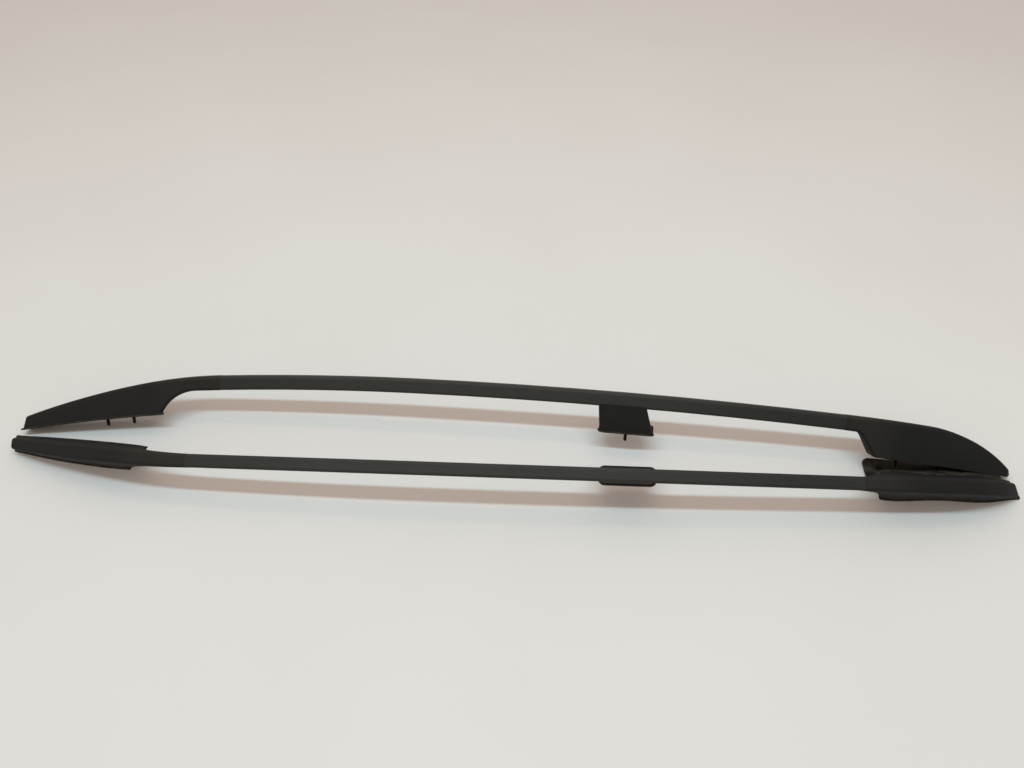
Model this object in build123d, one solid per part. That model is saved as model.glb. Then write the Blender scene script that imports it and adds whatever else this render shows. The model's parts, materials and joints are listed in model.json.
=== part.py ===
from build123d import *
import os
from dataclasses import dataclass
from math import asin, atan2, cos, degrees, hypot, radians, sin, sqrt, tan

# A pair of roof side rails, mirror images of each other, in millimetres.
# One rail is modelled in its own frame: x along the rail with the front at -x, y outward from the
# vehicle, z up along the legs, and z = 0 at the lowest ends of the soles. It then takes its stance.

# Arch of the bar
crest_x = -160.0
crest_height = 122.0
front_arc_radius = 5300.0
rear_arc_radius = 10500.0

# Extruded bar
bar_width = 22.0
bar_height = 25.0
bar_corner = 5.0
bar_wall = 2.4
seam_gap = 0.15

# Mould and assembly values shared by the feet
cover_wall = 2.6
cover_proud = 0.3
crown_half_width = 11.5
flank_draft = 9.5
leg_draft = 7.1
draft_run = 58.0
tip_taper = 94.0
tip_run = 28.0
cover_edge_radius = 5.5
leg_fillet_share = 0.95
brow_share = 1.5
gasket_thickness = 3.0
gasket_lip = 1.0
gasket_corner = 2.0
inner_clearance = 0.5
base_thickness = 6.0
base_tip_margin = 70.0
web_thickness = 8.0
arm_root = 14.0
spigot_length = 62.0
spigot_clearance = 0.25

# Front foot: its tip from the rail's origin, and the rest from the leg's corner
front_tip = 860.0
front_sole_length = 240.0
front_neck_length = 113.0
front_shoulder = 24.0
front_shoulder_radius = 875.0
front_tip_height = 23.5
front_tip_setback = 4.0
front_tip_half_width = 8.0
front_leg_rise = 37.0
front_sole_bulge = 2.5
front_leg_angle = 57.0
front_leg_fillet = 78.0
front_leg_skew = 0.7
front_toe_in = 22.5
front_toe_power = 1.6
front_stud_places = (48.0, 95.0)
front_screw_places = (32.0, 80.0)

# Rear foot: its tip from the rail's origin, and the rest from the leg's corner
rear_tip = 871.0
rear_sole_length = 240.0
rear_neck_length = 47.0
rear_shoulder = 94.0
rear_shoulder_radius = 3300.0
rear_tip_half_width = 11.5
rear_tip_skew = 2.0
rear_tip_cut = 7.0
rear_tip_slant = 0.65
rear_leg_rise = 26.0
rear_sole_bulge = 2.4
rear_leg_angle = 60.0
rear_leg_fillet = 18.0
rear_stud_places = (44.0, 115.0)
rear_screw_places = (32.0, 86.0)

# Rear gasket of the right rail, which has come loose and hangs down to the ground at its leg end
loose_run = 185.0
loose_slide = 3.0
loose_tip_margin = 28.0
loose_drift = 7.0
loose_gap = 0.9
loose_ground_gap = 1.6
loose_corner = 13.0
loose_dimple_margin = 24.0
loose_dimple_radius = 4.5
loose_dimple_depth = 1.5
loose_stud_clearance = 2.0

# Centre leg
centre_x = 214.0
centre_sole_height = 45.0
centre_base_length = 92.0
centre_base_width = 27.5
centre_top_length = 82.0
centre_top_offset = -10.0
centre_corner = 10.0
centre_top_corner = 5.0
centre_saddle = 4.0
centre_plinth_height = 12.0
centre_plinth_lip = 0.8
centre_plinth_edge = 0.7
centre_wall = 3.0
centre_roof = 5.0
insert_thickness = 6.0
insert_ledge = 2.5
centre_screw_spacing = 48.0

# Fasteners
stud_radius = 3.0
stud_reach = 14.0
stud_chamfer = 0.8
shank_radius = 3.4
shank_reach = 0.5
collar_radius = 5.5
collar_thickness = 2.0
hole_clearance = 0.1
gasket_hole_clearance = 0.6
screw_radius = 2.2
screw_head_radius = 3.8
screw_head_height = 2.4
screw_head_edge = 1.4
screw_end_gap = 1.0
flush_head_height = 1.6
flush_head_depth = 0.1
seat_gap = 0.02
bar_screw_places = (16.0, 44.0)
bar_screw_length = 13.0
leg_screw_reach = 3.0
cover_boss_radius = 4.2
cover_boss_offset = 9.6
cover_screw_length = 16.0

# Stance of the pair: each rail leans outward and toes apart a little towards the front
lean_angle = 37.1
toe_angle = 0.98
pair_gap = 1.0

# Reach of the cutting bodies past the pieces that they trim
overrun = 12.0
heel_run = 30.0
seam_depth_share = 2.5
reach = 200.0


@dataclass(frozen=True)
class EndFoot:
    """Sizes of one end foot; distances run from the rail's origin towards the foot's tip."""

    side: int
    tip: float
    leg: float
    seam: float
    shoulder: float
    shoulder_radius: float
    tip_height: float
    tip_setback: float
    tip_half_width: float
    leg_rise: float
    sole_bulge: float
    leg_angle: float
    leg_fillet: float
    leg_skew: float
    toe_in: float
    toe_power: float
    tip_skew: float
    tip_cut: float
    tip_slant: float
    stud_places: list
    screw_places: list


front_leg = front_tip - front_sole_length
rear_leg = rear_tip - rear_sole_length
front_foot = EndFoot(
    side=-1,
    tip=front_tip,
    leg=front_leg,
    seam=front_leg - front_neck_length,
    shoulder=front_leg + front_shoulder,
    shoulder_radius=front_shoulder_radius,
    tip_height=front_tip_height,
    tip_setback=front_tip_setback,
    tip_half_width=front_tip_half_width,
    leg_rise=front_leg_rise,
    sole_bulge=front_sole_bulge,
    leg_angle=front_leg_angle,
    leg_fillet=front_leg_fillet,
    leg_skew=front_leg_skew,
    toe_in=front_toe_in,
    toe_power=front_toe_power,
    tip_skew=0.0,
    tip_cut=0.0,
    tip_slant=0.0,
    stud_places=[front_leg + place for place in front_stud_places],
    screw_places=[front_leg + place for place in front_screw_places],
)
rear_foot = EndFoot(
    side=1,
    tip=rear_tip,
    leg=rear_leg,
    seam=rear_leg - rear_neck_length,
    shoulder=rear_leg + rear_shoulder,
    shoulder_radius=rear_shoulder_radius,
    tip_height=gasket_thickness,
    tip_setback=0.0,
    tip_half_width=rear_tip_half_width,
    leg_rise=rear_leg_rise,
    sole_bulge=rear_sole_bulge,
    leg_angle=rear_leg_angle,
    leg_fillet=rear_leg_fillet,
    leg_skew=0.0,
    toe_in=0.0,
    toe_power=1.0,
    tip_skew=rear_tip_skew,
    tip_cut=rear_tip_cut,
    tip_slant=rear_tip_slant,
    stud_places=[rear_leg + place for place in rear_stud_places],
    screw_places=[rear_leg + place for place in rear_screw_places],
)


# Curves of the rail

def arc_radius(x):
    """Radius of the bar's centre line on the crest's side where x lies."""
    return front_arc_radius if x < crest_x else rear_arc_radius


def bar_centre(x):
    """Height of the bar's centre line at x."""
    radius = arc_radius(x)
    return crest_height - bar_height / 2 - radius + sqrt(radius**2 - (x - crest_x) ** 2)


def bar_angle(x):
    """Angle of the bar's centre line above the x axis at x, in degrees."""
    return -degrees(asin((x - crest_x) / arc_radius(x)))


def bar_frame(x):
    """Frame on the bar's centre line, with its own x along the bar."""
    return Pos(x, 0, bar_centre(x)) * Rot(Y=-bar_angle(x))


def seam_angle(foot):
    """Fall of the bar at the seam, in radians, going towards the foot."""
    return radians(foot.side * -bar_angle(foot.side * foot.seam))


def seam_corner(foot, way):
    """Distance and height of the cover's corner at its seam, above the bar for +1 and below for -1."""
    fall = seam_angle(foot)
    half_height = way * (bar_height / 2 + cover_proud)
    height = bar_centre(foot.side * foot.seam) + half_height * cos(fall)
    return foot.seam + half_height * sin(fall), height


def neck_bottom(foot, distance):
    """Height of the cover's underside at a distance along its neck."""
    start, height = seam_corner(foot, -1)
    return height - tan(seam_angle(foot)) * (distance - start)


def shoulder_point(foot):
    """Where the cover's two top arcs meet: height, and fall of the tangent in radians."""
    fall = seam_angle(foot)
    start, height = seam_corner(foot, 1)
    end = asin(sin(fall) + (foot.shoulder - start) / foot.shoulder_radius)
    return height - foot.shoulder_radius * (cos(fall) - cos(end)), end


def top_height(foot, distance):
    """Height of the cover's top line at a distance from the rail's origin."""
    if distance <= foot.shoulder:
        fall = seam_angle(foot)
        start, height = seam_corner(foot, 1)
        end = asin(sin(fall) + (distance - start) / foot.shoulder_radius)
        return height - foot.shoulder_radius * (cos(fall) - cos(end))
    height, fall = shoulder_point(foot)
    run = foot.tip - foot.tip_setback - foot.shoulder
    drop = height - foot.tip_height
    radius = hypot(run, drop) / (2 * sin(atan2(drop, run) - fall))
    along = min(distance - foot.shoulder, run)
    return height - radius * (cos(fall) - cos(asin(sin(fall) + along / radius)))


def sole_circle(foot):
    """Arc of the sole from the tip to the leg: its centre's distance and height, and its radius."""
    run = foot.tip - foot.leg
    chord = hypot(run, foot.leg_rise)
    radius = (chord**2 / 4 + foot.sole_bulge**2) / (2 * foot.sole_bulge)
    depth = radius - foot.sole_bulge
    distance = (foot.tip + foot.leg) / 2 - depth * foot.leg_rise / chord
    return distance, foot.leg_rise / 2 - depth * run / chord, radius


def sole_height(foot, distance):
    """Height of the sole, bulged like the roof that it sits on."""
    middle, height, radius = sole_circle(foot)
    return height + sqrt(radius**2 - (distance - middle) ** 2)


def sole_tilt(foot, distance):
    """Turn about y that sets a stud square to the sole, in degrees."""
    middle, _, radius = sole_circle(foot)
    return foot.side * degrees(asin((distance - middle) / radius))


def plan_offset(foot, distance):
    """Sideways place of the foot's middle line, which curves inward or turns out towards the tip."""
    share = max(distance - foot.seam, 0) / (foot.tip - foot.seam)
    tip_share = max(distance - foot.tip + tip_taper, 0) / tip_taper
    return foot.tip_skew * tip_share**2 - foot.toe_in * share**foot.toe_power


def spot(foot, distance, height):
    """Point in the rail's middle plane at a distance towards the foot's tip."""
    return Vector(foot.side * distance, 0, height)


def sole_edge(foot, start, end, rise):
    """Arc along the sole from one distance to another, raised above it."""
    middle = (start + end) / 2
    return ThreePointArc(*[spot(foot, d, sole_height(foot, d) + rise) for d in (start, middle, end)])


# Shared bodies of the feet

def slab(face, half_depth=reach):
    """Body of a face in the middle plane, carried to both sides."""
    return extrude(face, half_depth, dir=(0, 1, 0), both=True)


def near(face, point):
    """Corner of a face nearest to a point."""
    return [min(face.vertices(), key=lambda v: (v.center() - point).length)]


def knee_distance(foot):
    """Distance at which the leg's straight edge, carried on, meets the underside of the neck."""
    fall = tan(seam_angle(foot))
    lean = tan(radians(foot.leg_angle))
    rise = neck_bottom(foot, foot.leg) - foot.leg_rise - gasket_thickness
    return foot.leg - rise / (lean - fall)


def leg_fillet(foot):
    """Radius between the neck and the leg, limited by the lengths of the two edges that it joins."""
    knee = knee_distance(foot)
    turn = radians(foot.leg_angle) - seam_angle(foot)
    leg_edge = (foot.leg - knee) / cos(radians(foot.leg_angle))
    neck_edge = (knee - foot.seam) / cos(seam_angle(foot))
    return min(foot.leg_fillet, leg_fillet_share * min(leg_edge, neck_edge) / tan(turn / 2))


def block_profile(foot, drop=0.0, run_on=0.0):
    """Side outline of a cover before its arch is cut, longer below by drop and past the seam by run_on."""
    top_z, fall = shoulder_point(foot)
    start = seam_angle(foot)
    back = Vector(-foot.side * cos(start), 0, sin(start)) * run_on
    rake = foot.tip_setback / max(foot.tip_height - gasket_thickness, gasket_thickness)
    heel_distance = foot.leg - heel_run
    middle = (foot.tip + heel_distance) / 2
    seam_top = spot(foot, *seam_corner(foot, 1))
    seam_low = seam_top + (spot(foot, *seam_corner(foot, -1)) - seam_top) * seam_depth_share
    shoulder = spot(foot, foot.shoulder, top_z)
    brow = spot(foot, foot.tip - foot.tip_setback, foot.tip_height)
    toe = spot(foot, foot.tip + drop * rake, gasket_thickness - drop)
    arch = spot(foot, middle, sole_height(foot, middle) + gasket_thickness - drop)
    heel = spot(foot, heel_distance, sole_height(foot, heel_distance) + gasket_thickness - drop)
    edges = [
        TangentArc(seam_top, shoulder, tangent=(foot.side * cos(start), 0, -sin(start))),
        TangentArc(shoulder, brow, tangent=(foot.side * cos(fall), 0, -sin(fall))),
        ThreePointArc(toe, arch, heel),
        Line(heel, seam_low + back),
        Line(seam_low + back, seam_top + back),
    ]
    if foot.tip_setback or drop:
        edges.append(Line(brow, toe))
    if run_on:
        edges.append(Line(seam_top + back, seam_top))
    return Face(Wire(edges))


def arch_cut(foot, grow=0.0):
    """Space under the neck and before the leg, grown by a wall; it crosses the foot at the leg's skew."""
    start = seam_angle(foot)
    along = Vector(foot.side * cos(start), 0, -sin(start))
    down = Vector(foot.side * cos(radians(foot.leg_angle)), 0, -sin(radians(foot.leg_angle)))
    knee = knee_distance(foot)
    knee_point = spot(foot, knee, neck_bottom(foot, knee))
    seam_under = spot(foot, *seam_corner(foot, -1)) - along * 2 * overrun
    corners = [knee_point, knee_point + down * reach, seam_under - Vector(0, 0, reach), seam_under]
    face = Face(Wire.make_polygon(corners))
    face = face.fillet_2d(leg_fillet(foot), near(face, knee_point))
    if grow:
        face = Face(face.outer_wire().offset_2d(grow, kind=Kind.INTERSECTION))
    across = Vector(0, 1, 0) + along * foot.leg_skew
    return extrude(face, reach * across.length, dir=across, both=True)


def tip_cut(foot, grow=0.0):
    """Body past the slanted end of a foot's tip, drawn back by a wall."""
    edge = foot.side * (foot.tip - foot.tip_cut - grow)
    turn = degrees(atan2(foot.tip_slant, 1)) * -foot.side
    place = Pos(edge, plan_offset(foot, foot.tip), 0) * Rot(Z=turn)
    return place * Pos(foot.side * reach, 0, 0) * Box(2 * reach, 2 * reach, 2 * reach)


def foot_block(foot, wall=0.0):
    """Whole body of a foot, or with a wall the space inside it, open at the rim and at the seam."""
    face = block_profile(foot)
    if wall:
        face = block_profile(foot, drop=overrun, run_on=overrun)
        face = Face(face.outer_wire().offset_2d(-wall, kind=Kind.INTERSECTION))
    body = (slab(face) & flank(foot, inset=wall)) - arch_cut(foot, grow=wall)
    return body - tip_cut(foot, grow=wall) if foot.tip_cut else body


def flank_stations(foot):
    """Distance, half width at the top line and draft of each cross-section of a foot."""
    neck = bar_width / 2 + cover_proud
    return [
        (foot.seam - 2 * overrun, neck, 0.0),
        (foot.seam, neck, 0.0),
        (foot.leg - overrun, crown_half_width, leg_draft),
        (foot.leg + draft_run, crown_half_width, flank_draft),
        (foot.tip - tip_taper, crown_half_width, flank_draft),
        (foot.tip - tip_run, (crown_half_width + foot.tip_half_width) / 2, flank_draft),
        (foot.tip + overrun, foot.tip_half_width, flank_draft),
    ]


def flank(foot, inset=0.0, half_width=None):
    """Tall body between the foot's two flanks, drawn in by an inset or of one half width."""
    sections = []
    for distance, half_top, draft in flank_stations(foot):
        slope = tan(radians(draft))
        middle = plan_offset(foot, distance)
        top = top_height(foot, distance)
        high = top + overrun / 2
        low = sole_height(foot, distance) - 2 * overrun
        upper = half_top - slope * (high - top) - inset
        lower = half_top + slope * (top - low) - inset
        if half_width is not None:
            upper = half_width
            lower = half_width
        corners = [(-lower, low), (lower, low), (upper, high), (-upper, high)]
        points = [Vector(foot.side * distance, middle + y, z) for y, z in corners]
        sections.append(Face(Wire.make_polygon(points)))
    return loft(sections)


def sole_strip(foot, start, end, low, high):
    """Body of a strip along the sole between two distances and two heights above it."""
    corners = [spot(foot, d, sole_height(foot, d) + h) for d, h in
               ((start, low), (end, low), (end, high), (start, high))]
    edges = [
        sole_edge(foot, start, end, low),
        Line(corners[1], corners[2]),
        sole_edge(foot, end, start, high),
        Line(corners[3], corners[0]),
    ]
    return slab(Face(Wire(edges)))


def stud_frame(foot, distance):
    """Frame at the underside of the gasket, with z square to the sole."""
    place = Pos(foot.side * distance, plan_offset(foot, distance), sole_height(foot, distance))
    return place * Rot(Y=sole_tilt(foot, distance))


def upright(radius, low, high):
    """Cylinder on the z axis between two heights."""
    return Pos(0, 0, (low + high) / 2) * Cylinder(radius, high - low)


def stud():
    """Threaded stud with a plain shank through the gasket and a collar that seats in its base."""
    thread = upright(stud_radius, -stud_reach, gasket_thickness + base_thickness)
    ends = thread.edges().filter_by(GeomType.CIRCLE).group_by(Axis.Z)[0]
    shank = upright(shank_radius, -shank_reach, gasket_thickness)
    collar = upright(collar_radius, gasket_thickness, gasket_thickness + collar_thickness)
    return chamfer(ends, stud_chamfer) + shank + collar


def stud_seat():
    """Hole for a stud, with a recess for its collar."""
    hole = upright(stud_radius + hole_clearance, 0, gasket_thickness + 3 * base_thickness)
    return hole + upright(collar_radius + hole_clearance, -gasket_thickness,
                          gasket_thickness + collar_thickness)


def screw(length):
    """Pan-head screw that points up, with the underside of its head at z = 0."""
    head = upright(screw_head_radius, -screw_head_height, 0)
    rim = head.edges().filter_by(GeomType.CIRCLE).group_by(Axis.Z)[0]
    return fillet(rim, screw_head_edge) + upright(screw_radius, 0, length)


def flush_screw(length, clearance=0.0):
    """Countersunk screw that points up, with the face of its head at z = 0; a clearance makes it a seat."""
    head = Pos(0, 0, flush_head_height / 2) * Cone(
        screw_head_radius + clearance, screw_radius + clearance, flush_head_height)
    return head + upright(screw_radius + clearance, flush_head_height / 2, length)


def bar_section(inset=0.0):
    """Section of the bar square to x, drawn in by an inset."""
    return Plane.YZ * RectangleRounded(bar_width - 2 * inset, bar_height - 2 * inset, bar_corner - inset)


def arch_body(section, start, end):
    """Section carried along the arch, on one side of its crest, from one place on x to a later one."""
    radius = arc_radius((start + end) / 2)
    turn = degrees(asin((end - crest_x) / radius) - asin((start - crest_x) / radius))
    height = crest_height - bar_height / 2 - radius + sqrt(radius**2 - (start - crest_x) ** 2)
    angle = degrees(asin((start - crest_x) / radius))
    axis = Axis((crest_x, 0, crest_height - bar_height / 2 - radius), (0, 1, 0))
    return revolve(Pos(start, 0, height) * Rot(Y=angle) * section, axis=axis, revolution_arc=turn)


def foot_span(foot, first, last):
    """Two distances towards a foot's tip as places on x, in rising order."""
    return sorted((foot.side * first, foot.side * last))


# Pieces of one rail

def make_bar():
    """Hollow arched bar, drilled from below for the screws of its brackets and leg."""
    section = bar_section() - bar_section(bar_wall)
    bar = arch_body(section, seam_gap - front_foot.seam, crest_x)
    bar += arch_body(section, crest_x, rear_foot.seam - seam_gap)
    drill = upright(screw_radius + hole_clearance, -bar_height, 0)
    sink = Pos(0, 0, flush_head_depth - bar_height / 2) * flush_screw(bar_height / 2, seat_gap)
    mouth = upright(screw_head_radius + seat_gap, -bar_height, flush_head_depth - bar_height / 2)
    for foot in (front_foot, rear_foot):
        for place in bar_screw_places:
            bar -= bar_frame(foot.side * (foot.seam - place)) * (sink + mouth)
    for place in centre_screw_xs():
        bar -= centre_frame() * Pos(place, 0, centre_height() + bar_height / 2) * drill
    return bar


def rounded_edges(body, foot):
    """Edges of a cover where its flanks meet the top, the tip and the leg, and the edge of its brow."""
    def keeps(edge):
        place = edge.center()
        distance = abs(place.X)
        aside = abs(place.Y - plan_offset(foot, distance)) > cover_edge_radius
        brow = foot.tip_setback > 0 and distance > foot.tip - brow_share * foot.tip_setback
        above_rim = place.Z > sole_height(foot, distance) + gasket_thickness + cover_proud
        return above_rim and distance > foot.seam + cover_proud and (aside or brow)
    return body.edges().filter_by(keeps)


def make_cover(foot):
    """Hollow moulded end piece with two screw bosses inside."""
    body = foot_block(foot)
    body = fillet(rounded_edges(body, foot), cover_edge_radius)
    shell = body - foot_block(foot, wall=cover_wall)
    above_base = sole_strip(foot, foot.leg - reach, foot.tip, gasket_thickness + base_thickness, reach)
    for place, way in zip(foot.screw_places, (1, -1)):
        spine = Pos(foot.side * place, plan_offset(foot, place) + way * cover_boss_offset, 0)
        boss = spine * upright(cover_boss_radius, 0, reach)
        shell += boss & above_base & body
        shell -= spine * upright(screw_radius + hole_clearance, 0,
                                 screw_seat(foot, place) + cover_screw_length + screw_end_gap)
    return shell


def screw_seat(foot, place):
    """Height of the recess floor for a cover screw's head in the bracket's base."""
    return sole_height(foot, place) + gasket_thickness + base_thickness / 2


def make_bracket(foot):
    """Cast foot: a base on the gasket, a web and an arm that plugs into the bar."""
    room = foot_block(foot, wall=cover_wall + inner_clearance)
    base_start = foot.leg + 2 * cover_wall
    base_end = foot.tip - base_tip_margin
    base = sole_strip(foot, base_start, base_end, gasket_thickness, gasket_thickness + base_thickness)
    above_rim = sole_strip(foot, base_start, base_end, gasket_thickness, reach)
    web = flank(foot, half_width=web_thickness / 2) & above_rim
    section = bar_section(bar_wall + spigot_clearance)
    spigot = arch_body(section, *foot_span(foot, foot.seam - spigot_length, foot.seam))
    arm = arch_body(section, *foot_span(foot, foot.seam, foot.leg + arm_root))
    bracket = ((base + web + arm) & room) + spigot
    for place in foot.stud_places:
        bracket -= stud_frame(foot, place) * stud_seat()
    for place, way in zip(foot.screw_places, (1, -1)):
        spine = Pos(foot.side * place, plan_offset(foot, place) + way * cover_boss_offset, 0)
        seat = screw_seat(foot, place)
        bracket -= spine * upright(screw_radius + hole_clearance, 0, seat + base_thickness)
        bracket -= spine * upright(screw_head_radius + hole_clearance, 0, seat)
    drill = upright(screw_radius + hole_clearance, -bar_height,
                    bar_screw_length + screw_end_gap - bar_height / 2)
    for place in bar_screw_places:
        bracket -= bar_frame(foot.side * (foot.seam - place)) * drill
    return bracket


def make_gasket(foot):
    """Soft pad under an end foot, a little wider than its cover, with holes for the studs."""
    strip = sole_strip(foot, foot.leg - heel_run, foot.tip + overrun, 0, gasket_thickness)
    pad = (strip & flank(foot, inset=-gasket_lip)) - arch_cut(foot, grow=-gasket_lip)
    pad -= tip_cut(foot, grow=-gasket_lip)

    def rounds(edge):
        sharp = foot.leg_skew and abs(edge.center().X) < foot.leg
        return edge.length < 2 * gasket_thickness and not sharp
    pad = fillet(pad.edges().filter_by(rounds), gasket_corner)
    hole = upright(shank_radius + gasket_hole_clearance, -overrun, overrun)
    for place in foot.stud_places:
        pad -= stud_frame(foot, place) * hole
    return pad


def make_studs(foot):
    """The studs of an end foot."""
    return [stud_frame(foot, place) * stud() for place in foot.stud_places]


def make_bar_screws(foot):
    """Screws from below that hold the bar on a bracket's arm."""
    seat = Pos(0, 0, flush_head_depth - bar_height / 2)
    return [bar_frame(foot.side * (foot.seam - place)) * seat * flush_screw(bar_screw_length)
            for place in bar_screw_places]


def make_cover_screws(foot):
    """Screws up through a bracket's base into the bosses of its cover."""
    screws = []
    for place, way in zip(foot.screw_places, (1, -1)):
        y = plan_offset(foot, place) + way * cover_boss_offset
        screws.append(Pos(foot.side * place, y, screw_seat(foot, place)) * screw(cover_screw_length))
    return screws


# Centre leg, built on a frame at its sole with x along the bar above it

def centre_frame():
    """Frame at the underside of the centre gasket, square to the bar."""
    return Pos(centre_x, 0, centre_sole_height) * Rot(Y=-bar_angle(centre_x))


def centre_height():
    """Height of the bar's underside above the sole, along the leg."""
    slope = radians(bar_angle(centre_x))
    return (bar_centre(centre_x) - centre_sole_height) * cos(slope) - bar_height / 2


def centre_screw_xs():
    """Places of the leg's two screws along the leg."""
    return [centre_top_offset + way * centre_screw_spacing / 2 for way in (-1, 1)]


def tapered(length_low, width_low, corner_low, length_high, width_high, corner_high, low, high):
    """Body between two rounded rectangles, the upper one shifted like the leg's top."""
    lower = Pos(0, 0, low) * RectangleRounded(length_low, width_low, corner_low)
    upper = Pos(centre_top_offset, 0, high) * RectangleRounded(length_high, width_high, corner_high)
    return loft([lower.face(), upper.face()])


def make_centre_leg():
    """Hollow leg with a plinth at its base and a saddle that takes the bar's underside."""
    top = centre_height() + centre_saddle
    top_width = bar_width + 2 * cover_proud
    body = tapered(centre_base_length, centre_base_width, centre_corner, centre_top_length, top_width,
                   centre_top_corner, gasket_thickness, top)
    plinth = RectangleRounded(centre_base_length + 2 * centre_plinth_lip,
                              centre_base_width + 2 * centre_plinth_lip, centre_corner)
    plinth = Pos(0, 0, gasket_thickness) * extrude(plinth, centre_plinth_height)
    plinth = fillet(plinth.edges().group_by(Axis.Z)[-1], centre_plinth_edge)
    roof = centre_height() - centre_roof
    hollow = tapered(
        centre_base_length - 2 * centre_wall - 2 * insert_ledge,
        centre_base_width - 2 * centre_wall - 2 * insert_ledge, centre_corner - centre_wall,
        centre_top_length - 2 * centre_wall, top_width - 2 * centre_wall, centre_top_corner - centre_wall,
        gasket_thickness, roof,
    )
    leg = body + plinth - hollow - insert_blank(inner_clearance / 2, insert_thickness)
    drill = upright(screw_radius + hole_clearance, 0, reach)
    for place in centre_screw_xs():
        leg -= Pos(place, 0, 0) * drill
    leg = centre_frame() * leg
    return leg - arch_body(bar_section(), crest_x, rear_foot.seam)


def insert_blank(clearance, height):
    """Plate that fills the recess in the leg's base, with a clearance around it."""
    blank = RectangleRounded(centre_base_length - 2 * centre_wall + 2 * clearance,
                             centre_base_width - 2 * centre_wall + 2 * clearance,
                             centre_corner - centre_wall)
    return Pos(0, 0, gasket_thickness) * extrude(blank, height)


def make_centre_insert():
    """Plate in the leg's base that carries the stud."""
    return centre_frame() * (insert_blank(0, insert_thickness) - stud_seat())


def make_centre_gasket():
    """Soft pad under the centre leg."""
    lip = centre_plinth_lip + gasket_lip
    pad = RectangleRounded(centre_base_length + 2 * lip, centre_base_width + 2 * lip, centre_corner)
    pad = extrude(pad, gasket_thickness)
    hole = upright(shank_radius + gasket_hole_clearance, -overrun, overrun)
    return centre_frame() * (pad - hole)


def make_centre_screws():
    """Screws up through the leg's roof into the bar."""
    seat = centre_height() - centre_roof
    length = centre_roof + bar_wall + leg_screw_reach
    return [centre_frame() * Pos(place, 0, seat) * screw(length) for place in centre_screw_xs()]


def make_rail():
    """All the pieces of one rail, by name, in the rail's own frame."""
    pieces = {
        "bar": [make_bar()],
        "centre_leg": [make_centre_leg()],
        "centre_insert": [make_centre_insert()],
        "centre_gasket": [make_centre_gasket()],
        "centre_stud": [centre_frame() * stud()],
        "centre_leg_screws": make_centre_screws(),
    }
    for name, foot in (("front", front_foot), ("rear", rear_foot)):
        pieces[f"{name}_cover"] = [make_cover(foot)]
        pieces[f"{name}_bracket"] = [make_bracket(foot)]
        pieces[f"{name}_gasket"] = [make_gasket(foot)]
        pieces[f"{name}_studs"] = make_studs(foot)
        pieces[f"{name}_bar_screws"] = make_bar_screws(foot)
        pieces[f"{name}_cover_screws"] = make_cover_screws(foot)
    return pieces


def stance(pieces):
    """Place of the right rail: leaning outward, toed out, on the ground at both ends, beside the left one."""
    turn = Rot(X=-lean_angle) * Rot(Z=-toe_angle)
    front_low, rear_low = [
        (turn * pieces[name][0]).bounding_box().min.Z for name in ("front_gasket", "rear_gasket")]
    turn = Rot(Y=degrees(atan2(rear_low - front_low, front_tip + rear_tip))) * turn
    boxes = [(turn * solid).bounding_box() for solids in pieces.values() for solid in solids]
    lowest = min(box.min.Z for box in boxes)
    innermost = min(box.min.Y for box in boxes)
    middle = (min(box.min.X for box in boxes) + max(box.max.X for box in boxes)) / 2
    return Pos(-middle, pair_gap / 2 - innermost, -lowest) * turn


def make_loose_gasket(foot, rail_place):
    """Gasket still on its studs, which keeps to the sole at the tip and twists down to the ground."""
    tip_end = foot.tip - loose_tip_margin
    leg_end = foot.leg - gasket_lip - loose_slide
    lean = radians(lean_angle)
    end_spot = rail_place * Pos(foot.side * leg_end, 0, sole_height(foot, leg_end))
    end_fall = end_spot.position.Z - loose_ground_gap

    def pad_frame(distance, drop):
        """Frame under the pad: drop is 0 on the sole and 1 where it lies flat on the ground."""
        fall = loose_gap + drop * (end_fall - loose_gap)
        aside = drop * loose_drift
        y = fall * sin(lean) - aside * cos(lean)
        z = sole_height(foot, distance) - fall * cos(lean) - aside * sin(lean)
        return Pos(foot.side * distance, y, z) * Rot(X=drop * lean_angle)

    stations = [(tip_end, 0.0)]
    for share in (0, 1 / 3, 2 / 3, 1):
        stations.append((leg_end + loose_run * (1 - share), share**2 * (3 - 2 * share)))
    sections = []
    for distance, drop in stations:
        height = top_height(foot, distance) - sole_height(foot, distance)
        width = 2 * (crown_half_width + height * tan(radians(flank_draft)) + gasket_lip)
        outline = Plane.YZ * Pos(0, gasket_thickness / 2) * Rectangle(width, gasket_thickness)
        sections.append((pad_frame(distance, drop) * outline).face())
    pad = loft(sections)
    end_corners = pad.edges().filter_by(
        lambda e: e.length < 2 * gasket_thickness and abs(e.center().X) < leg_end + gasket_thickness)
    pad = fillet(end_corners, loose_corner)
    dimple = upright(loose_dimple_radius, gasket_thickness - loose_dimple_depth, overrun)
    pad -= pad_frame(leg_end + loose_dimple_margin, 1) * dimple
    for place in foot.stud_places:
        clear = upright(shank_radius + loose_stud_clearance, -reach, overrun)
        pad -= stud_frame(foot, place) * clear
    return pad


os.makedirs("parts", exist_ok=True)
rail = make_rail()
right_place = stance(rail)
loose_gasket = make_loose_gasket(rear_foot, right_place)
for piece_name, piece_solids in rail.items():
    right_solids = [right_place * solid for piece in piece_solids for solid in piece.solids()]
    left_solids = [mirror(solid, about=Plane.XZ) for solid in right_solids]
    if piece_name == "rear_gasket":
        right_solids = [right_place * solid for solid in loose_gasket.solids()]
    export_step(Compound(children=right_solids), f"parts/right_{piece_name}.step")
    export_step(Compound(children=left_solids), f"parts/left_{piece_name}.step")
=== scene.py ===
import json
import logging
import math
from dataclasses import dataclass
from enum import Enum
from typing import Any, Sequence

import bmesh
import bpy
import numpy as np
from mathutils import Matrix, Vector


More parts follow.
